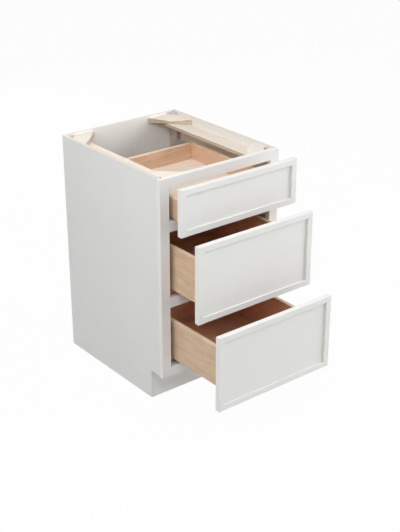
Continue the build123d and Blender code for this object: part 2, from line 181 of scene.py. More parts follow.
def faces_along(tree, normal, axis):
    """1 on the faces that look along an axis, either way, and 0 on the others."""
    parts = add(tree, "ShaderNodeSeparateXYZ", {"Vector": normal})
    size = add(tree, "ShaderNodeMath", {0: parts.outputs[axis]}, operation="ABSOLUTE")
    past = add(tree, "ShaderNodeMath", {0: size.outputs[0], 1: FACING}, operation="GREATER_THAN")
    return past.outputs[0]


def past_plane(tree, place, axis, limit, past, mirrored=False):
    """1 where the coordinate, or its size if mirrored, is GREATER_THAN or LESS_THAN a limit."""
    value = add(tree, "ShaderNodeSeparateXYZ", {"Vector": place}).outputs[axis]
    if mirrored:
        value = add(tree, "ShaderNodeMath", {0: value}, operation="ABSOLUTE").outputs[0]
    return add(tree, "ShaderNodeMath", {0: value, 1: limit}, operation=past).outputs[0]


# ------------------------ patterns of wood
def wood_lines(tree, place, along, figure_width, lines, fibre_width):
    """Growth lines and fibres, 0 to 1 each, as two outputs.

    The lines are contours of a noise drawn out along the grain: 0.5 + 0.5 sin(2 pi lines noise). The
    fibres are a finer noise drawn out still more.
    """
    outputs = []
    figure = (figure_width, FIGURE_STRETCH, 1.2)
    fibres = (fibre_width, FIBRE_STRETCH, 3.0)
    for width, stretch, detail in (figure, fibres):
        scale = [1.0 / stretch if axis == along else 1.0 for axis in AXES]
        drawn_out = add(tree, "ShaderNodeMapping", {"Vector": place, "Scale": scale})
        noise = {"Vector": drawn_out.outputs["Vector"], "Scale": 1.0 / width, "Detail": detail}
        outputs.append(add(tree, "ShaderNodeTexNoise", noise).outputs["Fac"])
    turns = {0: outputs[0], 1: 2 * math.pi * lines}
    angle = add(tree, "ShaderNodeMath", turns, operation="MULTIPLY")
    wave = add(tree, "ShaderNodeMath", {0: angle.outputs[0]}, operation="SINE")
    half = {0: wave.outputs[0], 1: 0.5, 2: 0.5}
    contour = add(tree, "ShaderNodeMath", half, operation="MULTIPLY_ADD")
    return contour.outputs[0], outputs[1]


def wood_tone(tree, place, along, light, dark, contrast, figure_width=FIGURE_WIDTH, lines=4.0):
    """Colour of a planed face, and its fibres: light wood that growth lines, fibres and the slow
    clouding of curly wood darken."""
    line_share, cloud_share = 0.2, 0.6
    contour, fibre = wood_lines(tree, place, along, figure_width, lines, FIBRE_WIDTH)
    cloud = {"Vector": place, "Scale": 1.0 / CURL_WIDTH, "Detail": 2.0}
    clouding = add(tree, "ShaderNodeTexNoise", cloud).outputs["Fac"]
    faint = {0: contour, 1: line_share, 2: fibre}
    drawn = add(tree, "ShaderNodeMath", faint, operation="MULTIPLY_ADD")
    weighed = {0: clouding, 1: cloud_share, 2: drawn.outputs[0]}
    both = add(tree, "ShaderNodeMath", weighed, operation="MULTIPLY_ADD")
    spread = {"Value": both.outputs[0], "From Min": 0.6, "From Max": 1.2, "To Max": contrast}
    amount = add(tree, "ShaderNodeMapRange", spread)
    mix = {FACTOR: amount.outputs[0], FIRST: opaque(light), SECOND: opaque(dark)}
    return add(tree, "ShaderNodeMix", mix, data_type="RGBA").outputs[MIXED], fibre


def ply_layers(tree, place, across, layer, light, dark):
    """Colour of a plywood edge: plies of one thickness across the board, every other one end grain,
    broken up by a noise drawn out along them."""
    layer_share = 0.35
    flat = [1.0 if axis == across else 1.0 / MOTTLE_STRETCH for axis in AXES]
    drawn_out = add(tree, "ShaderNodeMapping", {"Vector": place, "Scale": flat})
    mottle = {"Vector": drawn_out.outputs["Vector"], "Scale": 1.0 / MOTTLE_WIDTH, "Detail": 4.0}
    noise = add(tree, "ShaderNodeTexNoise", mottle).outputs["Fac"]
    parts = add(tree, "ShaderNodeSeparateXYZ", {"Vector": place})
    turns = {0: parts.outputs[across], 1: math.pi / layer}
    angle = add(tree, "ShaderNodeMath", turns, operation="MULTIPLY")
    wave = add(tree, "ShaderNodeMath", {0: angle.outputs[0]}, operation="SINE")
    plies = {0: wave.outputs[0], 1: layer_share, 2: noise}
    both = add(tree, "ShaderNodeMath", plies, operation="MULTIPLY_ADD")
    spread = {"Value": both.outputs[0], "From Min": 0.2, "From Max": 0.85}
    amount = add(tree, "ShaderNodeMapRange", spread)
    mix = {FACTOR: amount.outputs[0], FIRST: opaque(light), SECOND: opaque(dark)}
    return add(tree, "ShaderNodeMix", mix, data_type="RGBA").outputs[MIXED], noise


# ------------------------ finishes of the carcass
def paint_tone(tree, place, base, shade):
    """Colour of sprayed paint, which drifts a little over a hand's breadth, and its orange peel."""
    drift = {"Vector": place, "Scale": 1.0 / PAINT_DRIFT, "Detail": 2.0}
    slow = add(tree, "ShaderNodeTexNoise", drift).outputs["Fac"]
    fine = {"Vector": place, "Scale": 1.0 / ORANGE_PEEL, "Detail": 1.0}
    peel = add(tree, "ShaderNodeTexNoise", fine).outputs["Fac"]
    mix = {FACTOR: slow, FIRST: opaque(base), SECOND: opaque(shade)}
    return add(tree, "ShaderNodeMix", mix, data_type="RGBA").outputs[MIXED], peel


def sprayed_lacquer(name, base, shade, roughness):
    """White catalysed lacquer sprayed on maple: an even satin white with a soft broad highlight."""
    material, tree, place, _ = new_material(name)
    tone, peel = paint_tone(tree, place, base, shade)
    close(tree, tone, peel, PEEL_DEPTH, {"Roughness": roughness, "IOR": COAT_IOR})
    return material


def lacquered_side_ply(name, look):
    """Side panel: satin white lacquer outside, clear-coated veneer inside, warmer and darker below the
    planks as painted shade, bare layered edges.
    """
    material, tree, place, normal = new_material(name)
    paint, peel = paint_tone(tree, place, look.carcass_paint, look.carcass_shade)
    veneer, _ = wood_tone(tree, place, "Z", look.veneer_shade_light, look.veneer_shade_dark, contrast=0.7)
    # painted shade and reflection: the inner faces take a lighter, greyer tone above the planks and a
    # warmer, darker veneer tone below them
    above = past_plane(tree, place, "Z", PLANK_TOP, "GREATER_THAN")
    sprayed = {FACTOR: above, FIRST: veneer, SECOND: opaque(look.coat_dark)}
    inside = add(tree, "ShaderNodeMix", sprayed, data_type="RGBA").outputs[MIXED]
    edge, _ = ply_layers(tree, place, "X", PANEL_PLY, look.rim_light, look.rim_dark)
    broad = faces_along(tree, normal, "X")
    bare = {FACTOR: broad, FIRST: edge, SECOND: inside}
    unpainted = add(tree, "ShaderNodeMix", bare, data_type="RGBA").outputs[MIXED]
    outside = past_plane(tree, place, "X", SIDE_OUT - SKIN, "GREATER_THAN", True)
    in_notch = past_plane(tree, place, "Z", TOE_TOP - SKIN, "LESS_THAN")
    notch_edge = past_plane(tree, place, "Y", TOE_FRONT + SKIN, "LESS_THAN")
    toe = add(tree, "ShaderNodeMath", {0: in_notch, 1: notch_edge}, operation="MULTIPLY")
    either = {0: outside, 1: toe.outputs[0]}
    painted = add(tree, "ShaderNodeMath", either, operation="MAXIMUM")
    mix = {FACTOR: painted.outputs[0], FIRST: unpainted, SECOND: paint}
    tone = add(tree, "ShaderNodeMix", mix, data_type="RGBA").outputs[MIXED]
    close(tree, tone, peel, PEEL_DEPTH, {"Roughness": look.paint_roughness, "IOR": COAT_IOR})
    return material


def coated_back_ply(name, look):
    """Back panel: thin plywood, pale and coated on the cabinet side, bare birch towards the wall."""
    material, tree, place, normal = new_material(name)
    inside, fibre = wood_tone(tree, place, "Z", look.coat_light, look.coat_dark, contrast=0.5)
    broad_figure = {"contrast": 0.9, "figure_width": BACK_FIGURE_WIDTH, "lines": 6.0}
    bare, _ = wood_tone(tree, place, "Z", look.ply_light, look.ply_dark, **broad_figure)
    edge, _ = ply_layers(tree, place, "Y", THIN_PLY, look.rim_light, look.rim_dark)
    rear = past_plane(tree, place, "Y", -SKIN, "GREATER_THAN")
    faces = {FACTOR: rear, FIRST: inside, SECOND: bare}
    broad = add(tree, "ShaderNodeMix", faces, data_type="RGBA").outputs[MIXED]
    mix = {FACTOR: faces_along(tree, normal, "Y"), FIRST: edge, SECOND: broad}
    tone = add(tree, "ShaderNodeMix", mix, data_type="RGBA").outputs[MIXED]
    close(tree, tone, fibre, COATED_FIBRE_DEPTH, {"Roughness": 0.5, "IOR": COAT_IOR})
    return material


def bare_plywood(name, across, along, layer, face, edge, roughness=0.55, cut_shade=None, under=None):
    """Sanded birch plywood: a creamy face with faint grain, and edges that show the glued plies.

    Where a tone is given for it, the cuts that look away from the middle take that dark tone as
    painted shade.
    Where a height and two tones are given for it, the face below that height has those tones.
    """
    material, tree, place, normal = new_material(name)
    figure = {"contrast": 0.85, "figure_width": PLY_FIGURE_WIDTH, "lines": 5.0}
    face_tone, fibre = wood_tone(tree, place, along, *face, **figure)
    if under:
        height, *below = under
        under_tone, _ = wood_tone(tree, place, along, *below, **figure)
        lower = past_plane(tree, place, "Z", height, "LESS_THAN")
        faces = {FACTOR: lower, FIRST: face_tone, SECOND: under_tone}
        face_tone = add(tree, "ShaderNodeMix", faces, data_type="RGBA").outputs[MIXED]
    edge_tone, _ = ply_layers(tree, place, across, layer, *edge)
    mix = {FACTOR: faces_along(tree, normal, across), FIRST: edge_tone, SECOND: face_tone}
    tone = add(tree, "ShaderNodeMix", mix, data_type="RGBA").outputs[MIXED]
    # painted shade on the clipped corner cuts of the corner blocks
    if cut_shade:
        # x times the x of the normal is past this limit only on the cuts towards the corners
        from_middle = add(tree, "ShaderNodeSeparateXYZ", {"Vector": place}).outputs["X"]
        looks = add(tree, "ShaderNodeSeparateXYZ", {"Vector": normal}).outputs["X"]
        both = add(tree, "ShaderNodeMath", {0: from_middle, 1: looks}, operation="MULTIPLY")
        away = {0: both.outputs[0], 1: CORNER_CUT * SIDE_IN}
        cut = add(tree, "ShaderNodeMath", away, operation="GREATER_THAN")
        shaded = {FACTOR: cut.outputs[0], FIRST: tone, SECOND: opaque(cut_shade)}
        tone = add(tree, "ShaderNodeMix", shaded, data_type="RGBA").outputs[MIXED]
    close(tree, tone, fibre, SANDED_FIBRE_DEPTH, {"Roughness": roughness, "IOR": COAT_IOR})
    return material


def clear_coated_maple(name, along, look, inner_shade_tones, inner_plane):
    """Solid maple board under a clear satin coat: warm and even, with faint lines along the board, a
    darker, redder tone inside the drawer that is painted shade, darker end grain, and a paler upper
    edge that is a painted highlight."""
    material, tree, place, normal = new_material(name)
    outer_tones = (look.maple_light, look.maple_dark)
    outer, fibre = wood_tone(tree, place, along, *outer_tones, contrast=1.0)
    # the inside of the walls takes darker, redder tones: painted shade
    inner, _ = wood_tone(tree, place, along, *inner_shade_tones, contrast=0.8)
    sides = {FACTOR: past_plane(tree, place, *inner_plane), FIRST: outer, SECOND: inner}
    tone = add(tree, "ShaderNodeMix", sides, data_type="RGBA").outputs[MIXED]
    end = {FACTOR: faces_along(tree, normal, along), FIRST: tone, SECOND: opaque(look.maple_end)}
    with_ends = add(tree, "ShaderNodeMix", end, data_type="RGBA").outputs[MIXED]
    # faces along Z, on the upper edges of the walls, take a paler tone: a painted highlight
    upper = {0: faces_along(tree, normal, "Z"), 1: look.highlight_share}
    share = add(tree, "ShaderNodeMath", upper, operation="MULTIPLY")
    highlighted = {FACTOR: share.outputs[0], FIRST: with_ends, SECOND: opaque(look.maple_top_highlight)}
    final = add(tree, "ShaderNodeMix", highlighted, data_type="RGBA").outputs[MIXED]
    shader = {"Roughness": look.maple_roughness, "IOR": COAT_IOR}
    close(tree, final, fibre, MAPLE_FIBRE_DEPTH, shader)
    return material


# ------------------------ finishes of the hardware
def zinc_plated_steel(name, look, roughness):
    """Roll-formed steel, bright zinc plated: a cool grey metal with blurred patches and faint lines
    along the rolling direction."""
    material, tree, place, _ = new_material(name)
    spangle = {"Vector": place, "Scale": 1.0 / SPANGLE, "Randomness": 1.0}
    cells = add(tree, "ShaderNodeTexVoronoi", spangle)
    grey = add(tree, "ShaderNodeRGBToBW", {"Color": cells.outputs["Color"]})
    tones = {FIRST: opaque(look.zinc_light), SECOND: opaque(look.zinc_dark)}
    mix = {FACTOR: grey.outputs["Val"], **tones}
    tone = add(tree, "ShaderNodeMix", mix, data_type="RGBA").outputs[MIXED]
    along = {"Vector": place, "Scale": (1.0, 1.0 / ROLLING_STRETCH, 1.0)}
    rolled = add(tree, "ShaderNodeMapping", along)
    lines = {"Vector": rolled.outputs["Vector"], "Scale": 1.0 / ROLLING_LINE, "Detail": 2.0}
    drawn = add(tree, "ShaderNodeTexNoise", lines).outputs["Fac"]
    spread = {"Value": drawn, "To Min": roughness - 0.08, "To Max": roughness + 0.1}
    rough = add(tree, "ShaderNodeMapRange", spread)
    close(tree, tone, drawn, POLISH_DEPTH, {"Roughness": rough.outputs[0], "Metallic": 1.0})
    return material


def moulded_nylon(name, base, shade):
    """Grey glass-filled nylon from a spark-eroded mould: matt, with a fine pebbled skin."""
    material, tree, place, _ = new_material(name)
    pebble = {"Vector": place, "Scale": 1.0 / PEBBLE, "Detail": 3.0}
    skin = add(tree, "ShaderNodeTexNoise", pebble).outputs["Fac"]
    mix = {FACTOR: skin, FIRST: opaque(base), SECOND: opaque(shade)}
    tone = add(tree, "ShaderNodeMix", mix, data_type="RGBA").outputs[MIXED]
    close(tree, tone, skin, PEBBLE_DEPTH, {"Roughness": 0.55, "IOR": NYLON_IOR})
    return material


def clear_polyurethane(name, tint):
    """Cast clear polyurethane: a soft glassy drop that shows the paint behind it."""
    material, tree, place, _ = new_material(name)
    cloud = {"Vector": place, "Scale": 1.0 / HAZE_WIDTH, "Detail": 2.0}
    haze = add(tree, "ShaderNodeTexNoise", cloud).outputs["Fac"]
    mix = {FACTOR: haze, FIRST: opaque(tint), SECOND: opaque(WHITE)}
    tone = add(tree, "ShaderNodeMix", mix, data_type="RGBA").outputs[MIXED]
    shader = {"Roughness": 0.12, "IOR": COAT_IOR, "Transmission Weight": 0.85}
    close(tree, tone, haze, POLISH_DEPTH, shader)
    return material


# ------------------------ CAD nodes
def dress(names, material, eased=0.0):
    """Give CAD nodes a material and, where asked, edges eased by that width."""
    for name in names:
        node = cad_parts[name]
        node.data.materials.clear()
        node.data.materials.append(material)
        if eased:
            weld = node.modifiers.new("joined_facets", "WELD")
            weld.merge_threshold = WELD_DISTANCE
            bevel = node.modifiers.new("eased_edges", "BEVEL")
            bevel.width = eased
            bevel.segments = 2
            bevel.limit_method = "ANGLE"
            bevel.angle_limit = EASED_ANGLE


def of_each_drawer(*ends):
    """Names of the nodes of all drawers that end in the given words."""
    return [f"{drawer}_{end}" for drawer in DRAWERS for end in ends]


# ------------------------ new pieces
def grid_faces(rows, columns):
    """Quads between the points of a grid whose last column joins its first."""
    row, column = np.meshgrid(np.arange(rows - 1), np.arange(columns), indexing="ij")
    after = (column + 1) % columns
    corners = (
        row * columns + column,
        row * columns + after,
        (row + 1) * columns + after,
        (row + 1) * columns + column,
    )
    return np.stack(corners, -1).reshape(-1, 4)


def revolved(radii, heights, columns):
    """Surface of revolution: (r cos a, r sin a, z). Radii and heights may vary by the angle a."""
    angles = np.linspace(0, 2 * math.pi, columns, endpoint=False)
    radii, heights = (np.broadcast_to(each, (len(radii), columns)) for each in (radii, heights))
    points = np.stack((radii * np.cos(angles), radii * np.sin(angles), heights), -1)
    return points.reshape(-1, 3), grid_faces(len(radii), columns)


def repeated(points, faces, places):
    """Copies of a small mesh; a place is its u, v and w directions and its origin, and every point
    goes to origin + x u + y v + z w."""
    places = np.array(places, float)
    moved = np.einsum("pk,nkc->npc", points, places[:, :3]) + places[:, None, 3]
    first = np.arange(len(places)) * len(points)
    return moved.reshape(-1, 3), (faces[None] + first[:, None, None]).reshape(-1, 4)


def new_piece(name, points, faces, material, body, slot):
    """Make a mesh object from arrays, close its seams and poles, and let it ride on a body."""
    mesh = bpy.data.meshes.new(name)
    mesh.from_pydata(points.tolist(), [], faces.tolist())
    shape = bmesh.new()
    shape.from_mesh(mesh)
    bmesh.ops.remove_doubles(shape, verts=shape.verts, dist=WELD_DISTANCE / 2)
    bmesh.ops.recalc_face_normals(shape, faces=shape.faces)
    shape.to_mesh(mesh)
    shape.free()
    mesh.shade_smooth()
    mesh.set_sharp_from_angle(angle=SHARP_ANGLE)
    mesh.materials.append(material)
    piece = bpy.data.objects.new(name, mesh)
    bpy.context.scene.collection.objects.link(piece)
    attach(piece, body)
    return piece


def bumper_dot(radius, height):
    """Stick-on bumper: r = R cos(t) ^ fullness and z = h sin(t), over a flat base."""
    rings, columns, fullness = 9, 28, 0.45
    turn = np.linspace(0, math.pi / 2, rings)
    radii = np.concatenate(([0.0], radius * np.cos(turn) ** fullness))
    heights = np.concatenate(([0.0], height * np.sin(turn)))
    radii[-1] = 0.0
    return revolved(radii[:, None], heights[:, None], columns)


def pan_head_screw(head_radius, head_height, shank_radius, length, pitch):
    """Cross-recessed screw along -Z with its head above the origin.

    The head is z = h (1 - (r / R) ^ 4) ^ 0.5 less a cross whose arms are |u| < reach and |v| < width
    with slanted walls. The shank is r = r0 + d (0.5 + 0.5 cos(2 pi z / pitch - a)), drawn in to its
    point.
    """
    columns, head_rings, rings_per_turn = 32, 15, 5
    recess_depth, root, point_length = 0.62, 0.72, 0.15  # shares of head, shank radius and length
    angles = np.linspace(0, 2 * math.pi, columns, endpoint=False)
    share = np.linspace(0, 1, head_rings)[:, None]
    radii = head_radius * share * np.ones(columns)
    dome = head_height * (1 - share**4) ** 0.5
    along, aside = radii * np.cos(angles), radii * np.sin(angles)
    reach, half_width, wall = 0.52 * head_radius, 0.13 * head_radius, 0.12 * head_radius
    recess = np.zeros_like(radii)
    for u, v in ((along, aside), (aside, along)):
        end = np.clip((reach - np.abs(u)) / wall + 0.5, 0, 1)
        side = np.clip((half_width - np.abs(v)) / wall + 0.5, 0, 1)
        recess = np.maximum(recess, end * side)
    head = dome - recess_depth * head_height * recess

    down = np.linspace(0, 1, int(rings_per_turn * length / pitch))[:, None]
    depth = -length * down
    thread = 0.5 + 0.5 * np.cos(2 * math.pi * depth / pitch - angles)
    point = np.clip((1 - down) / point_length, 0, 1)
    shank = shank_radius * (root + (1 - root) * thread) * point
    all_radii = np.concatenate((radii, shank))
    all_heights = np.concatenate((head * np.ones(columns), depth * np.ones(columns)))
    return revolved(all_radii, all_heights, columns)


def staple(crown, leg, wire, proud):
    """Fine-wire staple over the origin, its crown along X and standing proud in Z.

    The path is the superellipse x = c |cos t| ^ p, z = (leg + proud) |sin t| ^ p - leg, and an
    eight-sided profile is carried along it, square to it.
    """
    steps, sides, power = 25, 8, 0.2
    turn = np.linspace(0, math.pi, steps)
    cosine = np.cos(turn)
    x = crown / 2 * np.sign(cosine) * np.abs(cosine) ** power
    z = (leg + proud) * np.abs(np.sin(turn)) ** power - leg
    path = np.stack((x, np.zeros_like(x), z), -1)
    ahead = np.gradient(path, axis=0)
    ahead /= np.linalg.norm(ahead, axis=1, keepdims=True)
    outward = np.stack((-ahead[:, 2], np.zeros_like(x), ahead[:, 0]), -1)
    around = np.linspace(0, 2 * math.pi, sides, endpoint=False) + math.pi / sides
    width = np.ones(steps)
    width[[0, -1]] = 0.0
    across = (wire / 2 * width)[:, None, None]
    ring = path[:, None] + across * np.cos(around)[None, :, None] * outward[:, None]
    ring = ring + across * np.sin(around)[None, :, None] * np.array((0.0, 1.0, 0.0))
    return ring.reshape(-1, 3), grid_faces(steps, sides)


def placed_along(w, origins, first=(0.0, 0.0, 1.0), step=0.0):
    """Places with the given w direction, one at each origin, whose u starts along a direction square
    to w and turns by a step from each place to the next."""
    w, first = Vector(w), Vector(first)
    places = []
    for number, origin in enumerate(origins):
        u = first * math.cos(number * step) + w.cross(first) * math.sin(number * step)
        places.append((u, w.cross(u), w, Vector(origin)))
    return places


# ------------------------ studio
def seen_directly(tree):
    """1 for rays from the camera, a mirror or glass, which should find the white background."""
    rays = add(tree, "ShaderNodeLightPath").outputs
    either = {0: rays["Is Camera Ray"], 1: rays["Is Glossy Ray"]}
    first = add(tree, "ShaderNodeMath", either, operation="MAXIMUM")
    all_three = {0: first.outputs[0], 1: rays["Is Transmission Ray"]}
    return add(tree, "ShaderNodeMath", all_three, operation="MAXIMUM").outputs[0]


def add_floor(reach, colour, glow_share):
    """Pale studio floor: z = 0 over a square, with its own white added where it is seen directly."""
    mesh = bpy.data.meshes.new("studio_floor")
    corners = [(-reach, -reach, 0), (reach, -reach, 0), (reach, reach, 0), (-reach, reach, 0)]
    mesh.from_pydata(corners, [], [(0, 1, 2, 3)])
    material, tree, _, _ = new_material("white_studio_floor")
    matt = add(tree, "ShaderNodeBsdfDiffuse", {"Color": opaque(colour)})
    glow = add(tree, "ShaderNodeEmission", {"Strength": 1.0})
    share = {0: seen_directly(tree), 1: glow_share}
    factor = add(tree, "ShaderNodeMath", share, operation="MULTIPLY")
    both = {0: factor.outputs[0], 1: matt.outputs[0], 2: glow.outputs[0]}
    mix = add(tree, "ShaderNodeMixShader", both)
    add(tree, "ShaderNodeOutputMaterial", {"Surface": mix.outputs[0]})
    mesh.materials.append(material)
    floor = bpy.data.objects.new("studio_floor", mesh)
    bpy.context.scene.collection.objects.link(floor)


def light_world(level):
    """White all round: at full strength where seen directly, and at a plain level as a light."""
    world = bpy.data.worlds.new("studio_world")
    world.use_nodes = True
    tree = world.node_tree
    tree.nodes.clear()
    strength = {"Value": seen_directly(tree), "To Min": level, "To Max": 1.0}
    made = add(tree, "ShaderNodeMapRange", strength)
    white = {"Strength": made.outputs[0], "Color": opaque(WHITE)}
    background = add(tree, "ShaderNodeBackground", white)
    add(tree, "ShaderNodeOutputWorld", {"Surface": background.outputs[0]})
    bpy.context.scene.world = world


def add_softbox(name, place, target, size, power):
    """Rectangular lamp at a place, turned to a target."""
    lamp = bpy.data.lights.new(name, "AREA")
    lamp.shape = "RECTANGLE"
    lamp.size, lamp.size_y = size
    lamp.energy = power
    box = bpy.data.objects.new(name, lamp)
    box.location = place
    towards = Vector(target) - Vector(place)
    box.rotation_mode = "QUATERNION"
    box.rotation_quaternion = towards.to_track_quat("-Z", "Y")
    bpy.context.scene.collection.objects.link(box)


def add_camera(lens):
    """Camera in front, to the left and above, at the angle of the photograph."""
    camera = bpy.data.cameras.new("camera")
    camera.sensor_fit = "AUTO"
    camera.sensor_width = 36.0
    camera.lens = lens
    camera.clip_end = 100.0
    holder = bpy.data.objects.new("camera", camera)
    holder.location = CAMERA_PLACE
    level = math.cos(CAMERA_PITCH)
    forward = (-math.sin(CAMERA_YAW) * level, math.cos(CAMERA_YAW) * level, math.sin(CAMERA_PITCH))
    holder.rotation_mode = "QUATERNION"
    holder.rotation_quaternion = Vector(forward).to_track_quat("-Z", "Y")
    bpy.context.scene.collection.objects.link(holder)
    bpy.context.scene.camera = holder


# ------------------------ what a user would change
def colour_property(name, description, code):
    """A colour with a given sRGB hex value as its default."""
    default = linear(code)
    return FloatVectorProperty(
        name=name, description=description, default=default, size=3, min=0.0, max=1.0, subtype="COLOR"
    )


def length_property(name, description, default):
    """A length in metres."""
    return FloatProperty(
        name=name, description=description, default=default, min=0.0, subtype="DISTANCE", unit="LENGTH"
    )


def share_property(name, description, default):
    """A value from 0 to 1."""
    return FloatProperty(
        name=name, description=description, default=default, min=0.0, max=1.0, subtype="FACTOR"
    )


def power_property(name, description, default):
    """A lamp's power in watts."""
    return FloatProperty(name=name, description=description, default=default, min=0.0, unit="POWER")


class CabinetCarcassLook(bpy.types.PropertyGroup):
    """Colours and edges of the carcass."""

    carcass_paint: colour_property("Side paint", "Lacquer on the outer sides", "E2E2E0")
    carcass_shade: colour_property("Side shade", "Darker tone that the sides drift to", "DDDDDB")
    frame_paint: colour_property("Frame paint", "Lacquer on the face frame and toe board", "E8E7E7")
    frame_shade: colour_property("Frame shade", "Darker tone that the frame drifts to", "E4E3E2")
    paint_roughness: share_property("Paint roughness", "Roughness of the satin lacquer", 0.42)
    coat_light: colour_property("Back, inside", "Coat on the inside of the back", "EFEDEA")
    coat_dark: colour_property("Back grain", "Grain of the inside of the back", "E7E3DF")
    # painted shade and reflection: a warm, darker tone inside the sides below the planks and on the
    # cabinet floor
    veneer_shade_light: colour_property("Sides, inside", "Clear-coated veneer inside the sides", "EAD9C8")
    veneer_shade_dark: colour_property("Side grain", "Grain of the veneer inside the sides", "DBC3AC")
    ply_light: colour_property("Plywood", "Sanded face of the planks and corner blocks", "ECE5DB")
    ply_dark: colour_property("Plywood grain", "Grain of the planks and corner blocks", "DFD3C2")
    # painted shade: the strips' tones are darker and warmer than the planks' birch ply
    strip_shade_light: colour_property("Strips", "Sanded face of the mounting strips", "C6B4A9")
    strip_shade_dark: colour_property("Strip grain", "Grain of the mounting strips", "B09A8C")
    # painted shade on the clipped corners of the corner blocks
    ply_cut_shade: colour_property("Saw-burnt ends", "Clipped corners of the corner blocks", "8C7A62")
    rim_light: colour_property("Rim, light plies", "Light plies of the panels' edges", "DFD7CC")
    rim_dark: colour_property("Rim, dark plies", "Dark plies of the panels' edges", "CABCA9")
    ply_edge_light: colour_property("Edge, light plies", "Light plies of a plywood edge", "D8CBB8")
    ply_edge_dark: colour_property("Edge, dark plies", "Plies that show their end grain", "A08563")
    eased_edge: length_property("Eased edge", "Width of the eased edges of the boards", 0.4 * MM)


class CabinetFrontLook(bpy.types.PropertyGroup):
    """Colours of the drawer fronts and sizes of their bumpers."""

    front_paint: colour_property("Paint", "Lacquer on the drawer fronts", "E6E6E4")
    front_shade: colour_property("Paint shade", "Darker tone that the lacquer drifts to", "E2E2E0")
    paint_roughness: share_property("Paint roughness", "Roughness of the satin lacquer", 0.38)
    eased_edge: length_property("Eased edge", "Width of the eased edges of the fronts", 0.6 * MM)
    bumper_radius: length_property("Bumper radius", "Radius of the clear bumpers", 4.0 * MM)
    bumper_height: length_property("Bumper height", "Height of the clear bumpers", 1.1 * MM)
    bumper_inset: length_property("Bumper inset", "From the front's sides to a bumper", 10.0 * MM)
    bumper_tint: colour_property("Bumper tint", "Tint of the clear bumpers", "F4F5F3")


class CabinetDrawerLook(bpy.types.PropertyGroup):
    """Colours of the drawer boxes."""

    maple_light: colour_property("Wood", "Clear-coated walls of the drawers", "D9BEA3")
    maple_dark: colour_property("Wood grain", "Growth lines of the walls", "C5A384")
    # painted shade: the inside tones are darker and redder than the outer walls, most of all on the
    # deep drawers' walls and floor
    inner_shade_light: colour_property("Inside", "Walls inside the top drawer", "DABB9F")
    inner_shade_dark: colour_property("Inside grain", "Growth lines inside the top drawer", "C1997B")
    deep_shade_light: colour_property("Deep inside", "Walls inside the deep drawers", "E2B194")
    deep_shade_dark: colour_property("Deep grain", "Growth lines inside the deep drawers", "CC9576")
    deep_floor_shade: colour_property("Deep floor", "Floor of the deep drawers", "E6B89F")
    maple_end: colour_property("End grain", "Ends of the boards at the dovetails", "B88F69")
    # a painted highlight: a paler tone on the walls' faces that look up or down
    maple_top_highlight: colour_property("Upper edge", "Sanded upper edges of the walls", "EBD3B8")
    highlight_share: share_property("Upper edge, share", "How far the upper edges take their tone", 0.75)
    maple_roughness: share_property("Roughness", "Roughness of the clear coat", 0.4)
    floor_light: colour_property("Floor", "Plywood floor of the drawers", "F3E7DA")
    floor_dark: colour_property("Floor grain", "Grain of the drawers' floor", "E7D6C4")


class CabinetHardwareLook(bpy.types.PropertyGroup):
    """Colours and sizes of the hardware."""

    zinc_light: colour_property("Zinc", "Plated steel of the slides", "D0CECA")
    zinc_dark: colour_property("Zinc, dark patches", "Darker patches of the plating", "B2AFAB")
    slide_roughness: share_property("Slide roughness", "Roughness of the slides' plating", 0.36)
    screw_roughness: share_property("Screw roughness", "Roughness of the screws' plating", 0.3)
    staple_roughness: share_property("Staple roughness", "Roughness of the staples' wire", 0.34)
    nylon: colour_property("Clips", "Nylon of the locking clips", "8D8F91")
    nylon_shade: colour_property("Clips, shade", "Darker tone of the nylon", "7B7D80")
    screw_pitch: length_property("Thread pitch", "Pitch of the screws", 1.8 * MM)
    screw_shank: length_property("Shank", "Radius of the screws' shank", 2.0 * MM)
    front_screw_head: length_property("Front screw", "Radius of the front screws' heads", 5.5 * MM)
    slide_screw_head: length_property("Slide screw", "Radius of the slide screws' heads", 4.0 * MM)
    slide_head_height: length_property("Slide screw head", "Height of those heads", 1.4 * MM)
    staple_crown: length_property("Staple crown", "Width of the staples in the back", 10.0 * MM)
    staple_leg: length_property("Staple leg", "Length of the staples' legs", 12.0 * MM)
    staple_wire: length_property("Staple wire", "Thickness of the staples' wire", 1.2 * MM)
    staple_proud: length_property("Staple proud", "How far the crowns stand out", 0.3 * MM)
    staple_margin: length_property("Staple margin", "From the back's edge to a staple", 48.0 * MM)
    staples_upright: IntProperty(
        name="Staples each side", description="Staples up each side of the back", default=8, min=2
    )
    staples_across: IntProperty(
        name="Staples across", description="Staples into the cabinet floor", default=5, min=2
    )


class CabinetStudio(bpy.types.PropertyGroup):
    """Lights and camera."""

    world_level: share_property("World", "Level of the light from all round", 0.27)
    above_power: power_property("Above", "Power of the softbox above", 23.0)
    right_power: power_property("Right", "Power of the softbox at the front right", 121.0)
    near_power: power_property("Front left", "Power of the near softbox at the front left", 24.0)
    left_power: power_property("Left", "Power of the near softbox at the left", 26.0)
    back_power: power_property("Back", "Power of the softbox behind the cabinet", 50.0)
    floor_reach: length_property("Floor reach", "Half the width of the studio floor", 15.0)
    floor_colour: colour_property("Floor", "Matt studio floor", "D8D8D6")
    floor_glow: share_property("Floor glow", "Share of plain white in the floor that is seen", 0.97)
    lens: FloatProperty(name="Lens", description="Focal length in millimetres", default=75.04, min=1.0)


